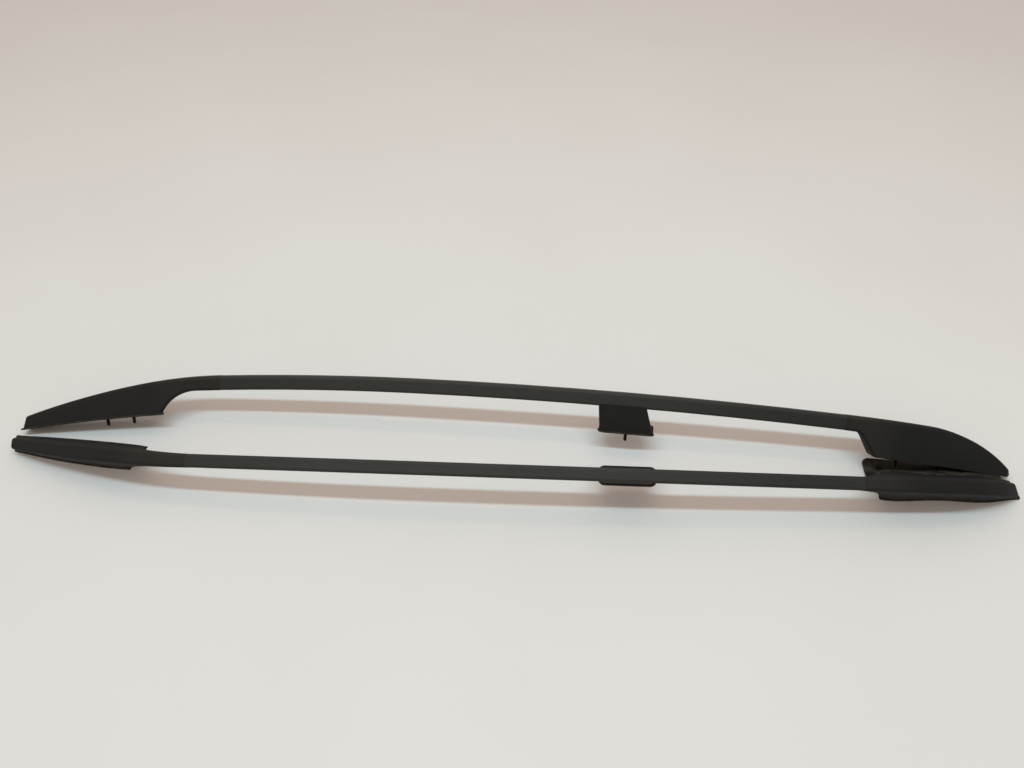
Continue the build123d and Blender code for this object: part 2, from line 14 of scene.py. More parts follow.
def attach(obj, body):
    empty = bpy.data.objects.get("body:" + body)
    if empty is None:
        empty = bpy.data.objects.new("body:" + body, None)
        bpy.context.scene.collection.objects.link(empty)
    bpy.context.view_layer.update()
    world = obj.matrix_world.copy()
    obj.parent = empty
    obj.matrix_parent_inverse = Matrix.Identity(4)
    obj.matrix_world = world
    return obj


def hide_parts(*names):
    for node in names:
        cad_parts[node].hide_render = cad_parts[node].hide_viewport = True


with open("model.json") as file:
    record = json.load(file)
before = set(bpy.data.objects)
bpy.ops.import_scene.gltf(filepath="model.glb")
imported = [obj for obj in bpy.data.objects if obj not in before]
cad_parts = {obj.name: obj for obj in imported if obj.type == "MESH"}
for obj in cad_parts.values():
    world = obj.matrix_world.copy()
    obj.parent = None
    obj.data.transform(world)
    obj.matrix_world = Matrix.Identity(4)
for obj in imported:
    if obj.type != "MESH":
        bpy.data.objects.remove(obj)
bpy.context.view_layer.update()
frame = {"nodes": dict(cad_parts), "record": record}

# A mirrored pair of arched roof rails for a car: slim coated bars, moulded feet, rubber gaskets, steel studs.
# Lengths in the classes below are in millimetres and are turned to metres where a mesh is made.

LOG = logging.getLogger("roof_rails")
MM = 0.001
BODY = "root"
MERGE_DISTANCE = 2e-6
AXIS = "axis"
NOISE_SPAN = (0.3, 0.7)


class Side(Enum):
    """The two rails of the pair."""

    RIGHT = "right"
    LEFT = "left"


class End(Enum):
    """The feet of a rail that carry studs and a gasket."""

    FRONT = "front"
    CENTRE = "centre"
    REAR = "rear"


class Slot(Enum):
    """The record's material slots."""

    BAR = "bar"
    MOULDING = "moulding"
    GASKET = "gasket"
    CASTING = "casting"
    STEEL = "steel"


class HeadForm(Enum):
    """The heads of the screws."""

    PAN = "pan"
    FLAT = "flat"


# Shared helpers

def linear(code: str) -> tuple[float, float, float, float]:
    """Turn an sRGB hex colour to linear.

    Args:
        code: The colour as #rrggbb.

    Returns:
        Linear red, green, blue and an alpha of one.
    """
    parts = [int(code[start:start + 2], 16) / 255 for start in (1, 3, 5)]
    red, green, blue = [p / 12.92 if p <= 0.04045 else ((p + 0.055) / 1.055) ** 2.4 for p in parts]
    return red, green, blue, 1.0


def add_node(tree: bpy.types.NodeTree, kind: str, values: dict | None = None, links: dict | None = None,
             **settings: Any) -> bpy.types.Node:
    """Add a node with its settings, its constant inputs and its links.

    Args:
        tree: The tree that takes the node.
        kind: The node's type.
        values: Constant inputs by socket name or number.
        links: Output sockets, or lists of them, by the name or number of the input that they feed.
        settings: The node's own properties.

    Returns:
        The new node.
    """
    node = tree.nodes.new(kind)
    for key, value in settings.items():
        setattr(node, key, value)
    for key, value in (values or {}).items():
        node.inputs[key].default_value = value
    for key, sources in (links or {}).items():
        for source in sources if isinstance(sources, list) else [sources]:
            tree.links.new(source, node.inputs[key])
    return node


def new_object(name: str, mesh: bpy.types.Mesh) -> bpy.types.Object:
    """Put a mesh in the scene as an object at the origin."""
    piece = bpy.data.objects.new(name, mesh)
    bpy.context.scene.collection.objects.link(piece)
    return piece


def new_geometry_tree(name: str, inputs: dict[str, str]) -> tuple[bpy.types.NodeTree, bpy.types.Node]:
    """Start a Geometry Nodes tree with named inputs.

    Args:
        name: The tree's name.
        inputs: Socket types by input name, besides the geometry.

    Returns:
        The tree and its group input node.
    """
    tree = bpy.data.node_groups.new(name, "GeometryNodeTree")
    tree.interface.new_socket(name="Geometry", in_out="INPUT", socket_type="NodeSocketGeometry")
    tree.interface.new_socket(name="Geometry", in_out="OUTPUT", socket_type="NodeSocketGeometry")
    for label, kind in inputs.items():
        tree.interface.new_socket(name=label, in_out="INPUT", socket_type=kind)
    return tree, add_node(tree, "NodeGroupInput")


def end_geometry_tree(tree: bpy.types.NodeTree, geometry: bpy.types.NodeSocket,
                      material: bpy.types.NodeSocket) -> None:
    """End a tree with real geometry and its material.

    Args:
        tree: The tree to end.
        geometry: The output that holds the finished shape.
        material: The group input's material socket.
    """
    real = add_node(tree, "GeometryNodeRealizeInstances", links={0: geometry})
    dressed = add_node(tree, "GeometryNodeSetMaterial",
                       links={"Geometry": real.outputs[0], "Material": material})
    add_node(tree, "NodeGroupOutput", links={0: dressed.outputs[0]})


def lifted(tree: bpy.types.NodeTree, shape: bpy.types.NodeSocket, height: float) -> bpy.types.NodeSocket:
    """Move a shape along its axis.

    Args:
        tree: The tree that takes the node.
        shape: The output that holds the shape.
        height: The distance in millimetres.

    Returns:
        The moved shape.
    """
    moved = add_node(tree, "GeometryNodeTransform", {"Translation": (0, 0, height * MM)}, {"Geometry": shape})
    return moved.outputs[0]


def set_on_axes(tree: bpy.types.NodeTree, points: bpy.types.NodeSocket,
                shape: bpy.types.NodeSocket) -> bpy.types.NodeSocket:
    """Set a copy of a shape on every point, along the point's axis.

    Args:
        tree: The tree that takes the nodes.
        points: The output that holds the points.
        shape: The output that holds the shape, with its axis along z.

    Returns:
        The copies.
    """
    axis = add_node(tree, "GeometryNodeInputNamedAttribute", {"Name": AXIS}, data_type="FLOAT_VECTOR")
    turn = add_node(tree, "FunctionNodeAlignRotationToVector", links={"Vector": axis.outputs[0]}, axis="Z")
    copies = add_node(tree, "GeometryNodeInstanceOnPoints",
                      links={"Points": points, "Instance": shape, "Rotation": turn.outputs[0]})
    return copies.outputs[0]


def axis_points(name: str, places: list[Vector], axes: list[Vector]) -> bpy.types.Object:
    """Put points in the scene, each with its axis.

    Args:
        name: The object's name.
        places: The points in metres.
        axes: Their axes.

    Returns:
        The object that holds the points.
    """
    mesh = bpy.data.meshes.new(name)
    mesh.from_pydata(places, [], [])
    values = [value for axis in axes for value in axis]
    mesh.attributes.new(AXIS, "FLOAT_VECTOR", "POINT").data.foreach_set("vector", values)
    return new_object(name, mesh)


def run_tree(piece: bpy.types.Object, tree: bpy.types.NodeTree, values: dict[str, Any],
             crease: float) -> None:
    """Run a tree on a piece and keep the result as its plain mesh.

    Args:
        piece: The object that holds the tree's starting points or paths.
        tree: The Geometry Nodes tree.
        values: The tree's inputs by name.
        crease: Angle in degrees above which an edge stays sharp.
    """
    modifier = piece.modifiers.new(tree.name, "NODES")
    modifier.node_group = tree
    for item in tree.interface.items_tree:
        if item.item_type == "SOCKET" and item.in_out == "INPUT" and item.name in values:
            modifier[item.identifier] = values[item.name]
    graph = bpy.context.evaluated_depsgraph_get()
    mesh = bpy.data.meshes.new_from_object(piece.evaluated_get(graph), depsgraph=graph)
    piece.modifiers.remove(modifier)
    start = piece.data
    piece.data = mesh
    bpy.data.meshes.remove(start)
    mesh.name = piece.name
    mesh.polygons.foreach_set("use_smooth", [True] * len(mesh.polygons))
    mesh.set_sharp_from_angle(angle=math.radians(crease))


def settle(piece: bpy.types.Object, replaced: Sequence[str] = ()) -> None:
    """Set a finished piece on the pair's body.

    Args:
        piece: The finished piece.
        replaced: CAD nodes that it stands for.
    """
    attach(piece, BODY)
    if replaced:
        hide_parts(*replaced)
    LOG.info("piece %s, %d faces", piece.name, len(piece.data.polygons))


def merged(node: str) -> bmesh.types.BMesh:
    """Read a CAD node's triangles as one joined mesh."""
    solid = bmesh.new()
    solid.from_mesh(frame["nodes"][node].data)
    bmesh.ops.remove_doubles(solid, verts=solid.verts, dist=MERGE_DISTANCE)
    solid.verts.ensure_lookup_table()
    solid.faces.ensure_lookup_table()
    return solid


# Finishes

Span = tuple[float, float]
Stops = tuple[tuple[float, float], ...]


def per_mm(size: float) -> float:
    """Scale at which one unit of a pattern measures a size in millimetres."""
    return 1 / (size * MM)


class Draft:
    """A material in the making, with short ways to add the nodes that the finishes share."""

    def __init__(self, name: str) -> None:
        """Start the material.

        Args:
            name: The material's name.
        """
        self.material = bpy.data.materials.new(name)
        self.material.use_nodes = True
        self.tree = self.material.node_tree
        self.shader = self.tree.nodes["Principled BSDF"]
        self.place = add_node(self.tree, "ShaderNodeTexCoord").outputs["Object"]

    def stretched(self, length: float, width: float,
                  turn: Sequence[float] = (0, 0, 0)) -> bpy.types.NodeSocket:
        """Give coordinates in which a pattern of size one is drawn out along the rails.

        Args:
            length: The pattern's size along the rails in millimetres.
            width: Its size across them in millimetres.
            turn: The pattern's slant in radians.

        Returns:
            The output that holds the coordinates.
        """
        scale = (per_mm(length), per_mm(width), per_mm(width))
        mapping = add_node(self.tree, "ShaderNodeMapping", {"Scale": scale, "Rotation": turn},
                           {"Vector": self.place})
        return mapping.outputs[0]

    def noise(self, scale: float, detail: float, place: bpy.types.NodeSocket | None = None,
              **inputs: float) -> bpy.types.NodeSocket:
        """Add a noise pattern.

        Args:
            scale: The pattern's scale.
            detail: How many finer layers it has.
            place: The coordinates, unless they are the object's own.
            inputs: Further inputs of the node.

        Returns:
            The pattern's value.
        """
        node = add_node(self.tree, "ShaderNodeTexNoise", {"Scale": scale, "Detail": detail, **inputs},
                        {"Vector": self.place if place is None else place})
        return node.outputs["Fac"]

    def spread(self, value: bpy.types.NodeSocket, source: Span, result: Span) -> bpy.types.NodeSocket:
        """Map a value from one span to another and hold it there.

        Args:
            value: The value to map.
            source: The span that it comes from.
            result: The span that it goes to.

        Returns:
            The mapped value.
        """
        limits = {"From Min": source[0], "From Max": source[1], "To Min": result[0], "To Max": result[1]}
        return add_node(self.tree, "ShaderNodeMapRange", limits, {"Value": value}).outputs[0]

    def multiply(self, first: bpy.types.NodeSocket, second: bpy.types.NodeSocket) -> bpy.types.NodeSocket:
        """Multiply two values."""
        node = add_node(self.tree, "ShaderNodeMath", links={0: first, 1: second}, operation="MULTIPLY")
        return node.outputs[0]

    def mix(self, share: bpy.types.NodeSocket, first: bpy.types.NodeSocket | str,
            second: str) -> bpy.types.NodeSocket:
        """Mix two colours.

        Args:
            share: The share of the second colour.
            first: A hex colour, or the output that holds one.
            second: A hex colour.

        Returns:
            The mixed colour.
        """
        values, links = {7: linear(second)}, {0: share}
        if isinstance(first, str):
            values[6] = linear(first)
        else:
            links[6] = first
        return add_node(self.tree, "ShaderNodeMix", values, links, data_type="RGBA").outputs[2]

    def upward(self, source: Span, result: Span) -> bpy.types.NodeSocket:
        """Give a share that grows as the surface looks up.

        Args:
            source: Span of the normal's height.
            result: Span of the share.

        Returns:
            The share.
        """
        facing = add_node(self.tree, "ShaderNodeNewGeometry")
        parts = add_node(self.tree, "ShaderNodeSeparateXYZ", links={0: facing.outputs["Normal"]})
        return self.spread(parts.outputs["Z"], source, result)

    def share_along(self, stops: Stops) -> bpy.types.NodeSocket:
        """Read a share from the place along the rails.

        Args:
            stops: Places along the rails in millimetres, front to rear, each with its share.

        Returns:
            The share.
        """
        first, last = stops[0][0], stops[-1][0]
        parts = add_node(self.tree, "ShaderNodeSeparateXYZ", links={0: self.place})
        along = self.spread(parts.outputs["X"], (first * MM, last * MM), (0.0, 1.0))
        ramp = add_node(self.tree, "ShaderNodeValToRGB", links={0: along})
        elements = ramp.color_ramp.elements
        for spot, _ in stops[1:-1]:
            elements.new((spot - first) / (last - first))
        for element, (_, share) in zip(elements, stops):
            element.color = (share, share, share, 1.0)
        return ramp.outputs["Color"]

    def end(self, colour: bpy.types.NodeSocket, pattern: bpy.types.NodeSocket, roughness: Span,
            height: bpy.types.NodeSocket, strength: float, depth: float,
            **inputs: float) -> bpy.types.Material:
        """Link colour, roughness and relief to the shader.

        Args:
            colour: The colour.
            pattern: The noise that the roughness follows.
            roughness: The span of the roughness.
            height: The relief's pattern.
            strength: The relief's strength.
            depth: The relief's depth in millimetres.
            inputs: Further inputs of the shader, with _ for a space.

        Returns:
            The finished material.
        """
        relief = add_node(self.tree, "ShaderNodeBump", {"Strength": strength, "Distance": depth * MM},
                          {"Height": height})
        gloss = self.spread(pattern, NOISE_SPAN, roughness)
        for name, source in (("Base Color", colour), ("Roughness", gloss), ("Normal", relief.outputs[0])):
            self.tree.links.new(source, self.shader.inputs[name])
        for name, value in inputs.items():
            self.shader.inputs[name.replace("_", " ")].default_value = value
        return self.material


@dataclass(frozen=True)
class Finish:
    """What all finishes share: a name and the slot that they dress."""

    name: str
    slot: Slot | None


@dataclass(frozen=True)
class PowderCoat(Finish):
    """Satin black powder coat on an extruded aluminium bar, some years old.

    The coat gives a dull sheen with a faint orange peel. Weather has faded it to a warm grey in long streaks
    along the bar, most on the faces that look up and along the middle, and dust sits on it in small specks.
    """

    deep: str = "#201f1b"
    faded: str = "#3e3c36"
    dust: str = "#55514a"
    roughness: Span = (0.58, 0.72)
    sheen: float = 0.28
    peel: float = 1.6
    peel_strength: float = 0.6
    peel_depth: float = 0.03
    streak_length: float = 240.0
    streak_width: float = 9.0
    speck: float = 2.2
    speck_span: Span = (0.62, 0.78)
    speck_share: Span = (0.0, 0.35)
    sun_span: Span = (-0.3, 1.0)
    sun_share: Span = (0.1, 0.95)
    fade_stops: Stops = ((-630, 0.15), (-320, 1.0), (180, 1.0), (490, 0.15))

    def make(self) -> bpy.types.Material:
        """Build the material."""
        draft = Draft(self.name)
        lengthwise = draft.stretched(self.streak_length, self.streak_width)
        streaks = draft.noise(scale=1.0, detail=4.0, place=lengthwise, Roughness=0.6)
        sunny = draft.multiply(streaks, draft.upward(self.sun_span, self.sun_share))
        coat = draft.mix(draft.multiply(sunny, draft.share_along(self.fade_stops)), self.deep, self.faded)
        specks = draft.noise(scale=per_mm(self.speck), detail=2.0)
        colour = draft.mix(draft.spread(specks, self.speck_span, self.speck_share), coat, self.dust)
        peel = draft.noise(scale=per_mm(self.peel), detail=1.0)
        return draft.end(colour, streaks, self.roughness, peel, self.peel_strength, self.peel_depth,
                         Specular_IOR_Level=self.sheen)


@dataclass(frozen=True)
class GrainedMoulding(Finish):
    """Black glass-filled nylon, moulded in a spark-eroded tool, so the skin has a fine pebbled grain.

    The grain scatters light, so the feet look flatter and darker than the coated bars. The sun has brought a
    brownish bloom to the crowns, in soft patches and most next to the bar, and handling has left a few paler
    scuffs.
    """

    deep: str = "#131210"
    bloom: str = "#3c362d"
    scuff: str = "#403b32"
    bloom_stops: Stops = (
        (-640, 0.4), (-570, 1.0), (-400, 1.0), (100, 0.15), (300, 0.15), (585, 0.85), (670, 0.1))
    sun_span: Span = (-0.1, 1.0)
    sun_share: Span = (0.05, 1.0)
    grain: float = 1.1
    grain_softness: float = 0.7
    grain_strength: float = 0.7
    grain_depth: float = 0.09
    patch: float = 46.0
    scuff_length: float = 60.0
    scuff_width: float = 3.0
    scuff_turn: tuple[float, float, float] = (0.3, 0.1, 0.05)
    scuff_span: Span = (0.66, 0.8)
    scuff_share: Span = (0.0, 0.3)
    roughness: Span = (0.62, 0.78)
    sheen: float = 0.2

    def make(self) -> bpy.types.Material:
        """Build the material."""
        draft = Draft(self.name)
        patches = draft.noise(scale=per_mm(self.patch), detail=5.0, Roughness=0.62)
        sunny = draft.multiply(patches, draft.upward(self.sun_span, self.sun_share))
        skin = draft.mix(draft.multiply(sunny, draft.share_along(self.bloom_stops)), self.deep, self.bloom)
        slanted = draft.stretched(self.scuff_length, self.scuff_width, self.scuff_turn)
        scuffs = draft.noise(scale=1.0, detail=3.0, place=slanted)
        colour = draft.mix(draft.spread(scuffs, self.scuff_span, self.scuff_share), skin, self.scuff)
        pebbles = add_node(draft.tree, "ShaderNodeTexVoronoi",
                           {"Scale": per_mm(self.grain), "Smoothness": self.grain_softness},
                           {"Vector": draft.place}, feature="SMOOTH_F1")
        return draft.end(colour, patches, self.roughness, pebbles.outputs["Distance"], self.grain_strength,
                         self.grain_depth, Specular_IOR_Level=self.sheen)


@dataclass(frozen=True)
class SealRubber(Finish):
    """Black EPDM rubber, moulded and then pressed for years between a foot and a painted roof.

    It shows as the deepest, flattest black of the rail, with a thin brown-grey film of road dust.
    """

    deep: str = "#1a1815"
    film: str = "#524a3e"
    film_span: Span = (0.38, 0.72)
    film_share: Span = (0.0, 0.8)
    roughness: Span = (0.66, 0.9)
    sheen: float = 0.15
    patch: float = 14.0
    pore: float = 1.4
    pore_strength: float = 0.6
    pore_depth: float = 0.05

    def make(self) -> bpy.types.Material:
        """Build the material."""
        draft = Draft(self.name)
        patches = draft.noise(scale=per_mm(self.patch), detail=6.0, Roughness=0.65)
        colour = draft.mix(draft.spread(patches, self.film_span, self.film_share), self.deep, self.film)
        pores = draft.noise(scale=per_mm(self.pore), detail=2.0)
        return draft.end(colour, patches, self.roughness, pores, self.pore_strength, self.pore_depth,
                         Specular_IOR_Level=self.sheen)


@dataclass(frozen=True)
class CastAluminium(Finish):
    """Pressure die-cast aluminium, left as it came from the die.

    It gives a soft mid grey with cold flow marks and a slightly pitted skin.
    """

    bright: str = "#a9a9a8"
    flow: str = "#7d7d7c"
    roughness: Span = (0.38, 0.58)
    mark: float = 18.0
    pit: float = 1.2
    pit_strength: float = 0.5
    pit_depth: float = 0.08

    def make(self) -> bpy.types.Material:
        """Build the material."""
        draft = Draft(self.name)
        marks = draft.noise(scale=per_mm(self.mark), detail=4.0, Distortion=0.8)
        colour = draft.mix(marks, self.bright, self.flow)
        pits = draft.noise(scale=per_mm(self.pit), detail=3.0)
        return draft.end(colour, marks, self.roughness, pits, self.pit_strength, self.pit_depth, Metallic=1.0)


@dataclass(frozen=True)
class BlackZinc(Finish):
    """Rolled steel studs and screws with a black passivated zinc plate.

    The plate is a dark metal with a dull gleam, a little browner where it has started to age.
    """

    plate: str = "#474643"
    aged: str = "#4d4236"
    aged_span: Span = (0.45, 0.65)
    aged_share: Span = (0.0, 1.0)
    roughness: Span = (0.3, 0.5)
    patch: float = 3.5
    roll: float = 0.5
    roll_strength: float = 0.4
    roll_depth: float = 0.02

    def make(self) -> bpy.types.Material:
        """Build the material."""
        draft = Draft(self.name)
        patches = draft.noise(scale=per_mm(self.patch), detail=5.0)
        colour = draft.mix(draft.spread(patches, self.aged_span, self.aged_share), self.plate, self.aged)
        marks = draft.noise(scale=per_mm(self.roll), detail=1.0)
        return draft.end(colour, patches, self.roughness, marks, self.roll_strength, self.roll_depth,
                         Metallic=1.0)


@dataclass(frozen=True)
class PaleBoard(Finish):
    """Matte white-faced board under the pair, a touch warm, with a barely visible unevenness of tone."""

    light: str = "#dedad4"
    shade: str = "#d8d3cb"
    patch: float = 420.0
    roughness: float = 0.75
    sheen: float = 0.2

    def make(self) -> bpy.types.Material:
        """Build the material."""
        draft = Draft(self.name)
        patches = draft.noise(scale=per_mm(self.patch), detail=3.0)
        draft.tree.links.new(draft.mix(patches, self.light, self.shade), draft.shader.inputs["Base Color"])
        draft.shader.inputs["Roughness"].default_value = self.roughness
        draft.shader.inputs["Specular IOR Level"].default_value = self.sheen
        return draft.material


# Pieces that repeat or follow a path

@dataclass
class ThreadedStuds:
    """Rolled M6 studs under the feet: plain shank, hidden collar and a thread that runs out at both ends."""

    core_radius: float = 2.42
    crest_radius: float = 3.0
    pitch: float = 1.0
    reach: float = 14.0
    shank_radius: float = 3.4
    shank_out: float = 0.5
    gasket: float = 3.0
    collar_radius: float = 5.5
    collar_thickness: float = 2.0
    tail: float = 9.0
    mount_depth: float = 7.0
    end_cone: float = 0.8
    run_in: float = 0.07
    run_out: float = 0.1
    least_ridge: float = 0.05
    ridge_sides: int = 4
    turn_steps: int = 20
    sides: int = 28
    crease: float = 32.0

    def tree(self) -> bpy.types.NodeTree:
        """Build the tree that sets one stud on every point, along the point's axis.

        Returns:
            The tree, with inputs for the thread's sizes and the material.
        """
        number = "NodeSocketFloat"
        tree, given = new_geometry_tree("threaded_stud", {
            "Core Radius": number, "Crest Radius": number, "Pitch": number, "Thread Length": number,
            "Material": "NodeSocketMaterial"})
        length = given.outputs["Thread Length"]
        turns = add_node(tree, "ShaderNodeMath", links={0: length, 1: given.outputs["Pitch"]},
                         operation="DIVIDE")
        depth = add_node(tree, "ShaderNodeMath",
                         links={0: given.outputs["Crest Radius"], 1: given.outputs["Core Radius"]},
                         operation="SUBTRACT")
        helix = add_node(tree, "GeometryNodeCurveSpiral", {"Resolution": self.turn_steps},
                         {"Rotations": turns.outputs[0], "Start Radius": given.outputs["Core Radius"],
                          "End Radius": given.outputs["Core Radius"], "Height": length})
        level = add_node(tree, "GeometryNodeSetCurveNormal", links={"Curve": helix.outputs[0]}, mode="Z_UP")
        along = add_node(tree, "GeometryNodeSplineParameter")
        start = add_node(tree, "ShaderNodeMapRange", {"From Max": self.run_in, "To Min": self.least_ridge},
                         {"Value": along.outputs["Factor"]})
        finish = add_node(tree, "ShaderNodeMapRange",
                          {"From Min": 1.0, "From Max": 1.0 - self.run_out, "To Min": self.least_ridge},
                          {"Value": along.outputs["Factor"]})
        growth = add_node(tree, "ShaderNodeMath", links={0: start.outputs[0], 1: finish.outputs[0]},
                          operation="MINIMUM")
        ridge = add_node(tree, "GeometryNodeCurvePrimitiveCircle", {"Resolution": self.ridge_sides},
                         {"Radius": depth.outputs[0]})
        thread = add_node(tree, "GeometryNodeCurveToMesh", {"Fill Caps": True},
                          {"Curve": level.outputs[0], "Profile Curve": ridge.outputs[0],
                           "Scale": growth.outputs[0]})
        parts = [lifted(tree, thread.outputs[0], self.shank_out)]
        core, cone_low = self.core_radius, self.reach - self.end_cone
        collar_low = -self.gasket - self.collar_thickness
        rods = [
            (self.crest_radius, -self.tail, collar_low),
            (self.collar_radius, collar_low, -self.gasket),
            (self.shank_radius, -self.gasket, self.shank_out),
            (core, self.shank_out, cone_low),
        ]
        for radius, low, high in rods:
            rod = add_node(tree, "GeometryNodeMeshCylinder",
                           {"Vertices": self.sides, "Radius": radius * MM, "Depth": (high - low) * MM})
            parts.append(lifted(tree, rod.outputs[0], (low + high) / 2))
        cone = add_node(tree, "GeometryNodeMeshCone",
                        {"Vertices": self.sides, "Radius Top": (core - self.end_cone) * MM,
                         "Radius Bottom": core * MM, "Depth": self.end_cone * MM})
        parts.append(lifted(tree, cone.outputs[0], cone_low))
        stud = add_node(tree, "GeometryNodeJoinGeometry", links={0: parts})
        studs = set_on_axes(tree, given.outputs["Geometry"], stud.outputs[0])
        end_geometry_tree(tree, studs, given.outputs["Material"])
        return tree

    def build(self, name: str, mounts: list[dict], tree: bpy.types.NodeTree,
              steel: bpy.types.Material) -> bpy.types.Object:
        """Build the studs of one foot.

        Args:
            name: The piece's name.
            mounts: The record's mounts at this foot.
            tree: The stud's tree.
            steel: The studs' material.

        Returns:
            The studs as one piece.
        """
        axes = [Vector(mount["axis"]) for mount in mounts]
        seats = [Vector(mount["pos_m"]) - axis * self.mount_depth * MM for mount, axis in zip(mounts, axes)]
        piece = axis_points(name, seats, axes)
        length = self.reach - self.shank_out - self.end_cone / 2
        run_tree(piece, tree, {
            "Core Radius": self.core_radius * MM, "Crest Radius": self.crest_radius * MM,
            "Pitch": self.pitch * MM, "Thread Length": length * MM, "Material": steel}, self.crease)
        return piece


@dataclass
class DrivenScrews:
    """Screws with a six-lobed drive: flat heads let into the bars, pan heads inside the feet and legs."""

    form: HeadForm
    head_height: float
    drive_depth: float
    head_radius: float = 3.8
    head_crown: float = 0.9
    crown_radius: float = 2.7
    shank_radius: float = 2.2
    drive_radius: float = 1.75
    drive_inner: float = 1.2
    lobes: int = 6
    lobe_radius: float = 0.3
    lobe_steps: int = 3
    seal_distance: float = 0.001
    rim_band: float = 0.1
    sides: int = 32
    side_steps: int = 3
    crease: float = 30.0

    def tree(self) -> bpy.types.NodeTree:
        """Build the tree that sets one screw on every point, along the point's axis.

        Returns:
            The tree, with inputs for the shank's length and the material.
        """
        tree, given = new_geometry_tree(f"{self.form.value}_screw", {
            "Shank Length": "NodeSocketFloat", "Material": "NodeSocketMaterial"})
        bands = [(self.head_radius, self.shank_radius, -self.head_height, 0.0)]
        if self.form is HeadForm.PAN:
            shoulder = self.head_crown - self.head_height
            bands = [(self.crown_radius, self.head_radius, -self.head_height, shoulder),
                     (self.head_radius, self.head_radius, shoulder, 0.0)]
        blanks = []
        for low_radius, high_radius, low, high in bands:
            band = add_node(tree, "GeometryNodeMeshCone",
                            {"Vertices": self.sides, "Side Segments": self.side_steps,
                             "Radius Top": high_radius * MM, "Radius Bottom": low_radius * MM,
                             "Depth": (high - low) * MM})
            blanks.append(lifted(tree, band.outputs[0], low))
        whole = add_node(tree, "GeometryNodeMeshBoolean", links={"Mesh 2": blanks}, operation="UNION")
        star = add_node(tree, "GeometryNodeCurveStar",
                        {"Points": self.lobes, "Inner Radius": self.drive_inner * MM,
                         "Outer Radius": self.drive_radius * MM})
        smooth = add_node(tree, "GeometryNodeFilletCurve",
                          {"Radius": self.lobe_radius * MM, "Count": self.lobe_steps},
                          {"Curve": star.outputs[0]}, mode="POLY")
        face = add_node(tree, "GeometryNodeFillCurve", links={0: smooth.outputs[0]})
        plug = add_node(tree, "GeometryNodeExtrudeMesh", {"Offset Scale": 2 * self.drive_depth * MM},
                        {"Mesh": face.outputs[0]})
        flipped = add_node(tree, "GeometryNodeFlipFaces", links={0: face.outputs[0]})
        closed = add_node(tree, "GeometryNodeJoinGeometry", links={0: [plug.outputs[0], flipped.outputs[0]]})
        sealed = add_node(tree, "GeometryNodeMergeByDistance", {"Distance": self.seal_distance * MM},
                          {0: closed.outputs[0]})
        drive = lifted(tree, sealed.outputs[0], -self.head_height - self.drive_depth)
        sunk = add_node(tree, "GeometryNodeMeshBoolean", links={"Mesh 1": whole.outputs[0], "Mesh 2": drive},
                        operation="DIFFERENCE")
        length = given.outputs["Shank Length"]
        half = add_node(tree, "ShaderNodeMath", {1: 0.5}, {0: length}, operation="MULTIPLY")
        up = add_node(tree, "ShaderNodeCombineXYZ", links={"Z": half.outputs[0]})
        shank = add_node(tree, "GeometryNodeMeshCylinder",
                         {"Vertices": self.sides, "Radius": self.shank_radius * MM}, {"Depth": length})
        standing = add_node(tree, "GeometryNodeTransform",
                            links={"Geometry": shank.outputs[0], "Translation": up.outputs[0]})
        screw = add_node(tree, "GeometryNodeJoinGeometry", links={0: [sunk.outputs[0], standing.outputs[0]]})
        screws = set_on_axes(tree, given.outputs["Geometry"], screw.outputs[0])
        end_geometry_tree(tree, screws, given.outputs["Material"])
        return tree

    def measure(self, node: str) -> tuple[list[Vector], list[Vector], float]:
        """Find where the screws of a CAD node are.

        Args:
            node: The CAD node that holds the screws.

        Returns:
            The seats under the heads, the axes towards the tips, and the shank's length in metres.
        """
        solid = merged(node)
        left = set(solid.verts)
        seats, axes, length = [], [], 0.0
        while left:
            island, edge = set(), {left.pop()}
            while edge:
                island |= edge
                edge = {e.other_vert(v) for v in edge for e in v.link_edges} - island
            left -= island
            points = np.array([v.co for v in island])
            middle = points.mean(0)
            axis = np.linalg.svd(points - middle)[2][0]
            height = (points - middle) @ axis
            aside = np.linalg.norm(points - middle - np.outer(height, axis), axis=1)
            if height[aside.argmax()] > 0:
                axis, height = -axis, -height
            rim = points[aside > aside.max() - self.rim_band * MM].mean(0)
            foot = rim + axis * (height.min() - (rim - middle) @ axis)
            seats.append(Vector(foot + axis * self.head_height * MM))
            axes.append(Vector(axis))
            length = float(height.max() - height.min()) - self.head_height * MM
        solid.free()
        order = sorted(range(len(seats)), key=lambda i: tuple(seats[i]))
        return [seats[i] for i in order], [axes[i] for i in order], length

    def build(self, name: str, node: str, tree: bpy.types.NodeTree,
              steel: bpy.types.Material) -> bpy.types.Object:
        """Build the screws that stand for one CAD node.

        Args:
            name: The piece's name.
            node: The CAD node that they stand for.
            tree: The screw's tree.
            steel: The screws' material.

        Returns:
            The screws as one piece.
        """
        seats, axes, length = self.measure(node)
        piece = axis_points(name, seats, axes)
        run_tree(piece, tree, {"Shank Length": length, "Material": steel}, self.crease)
        return piece


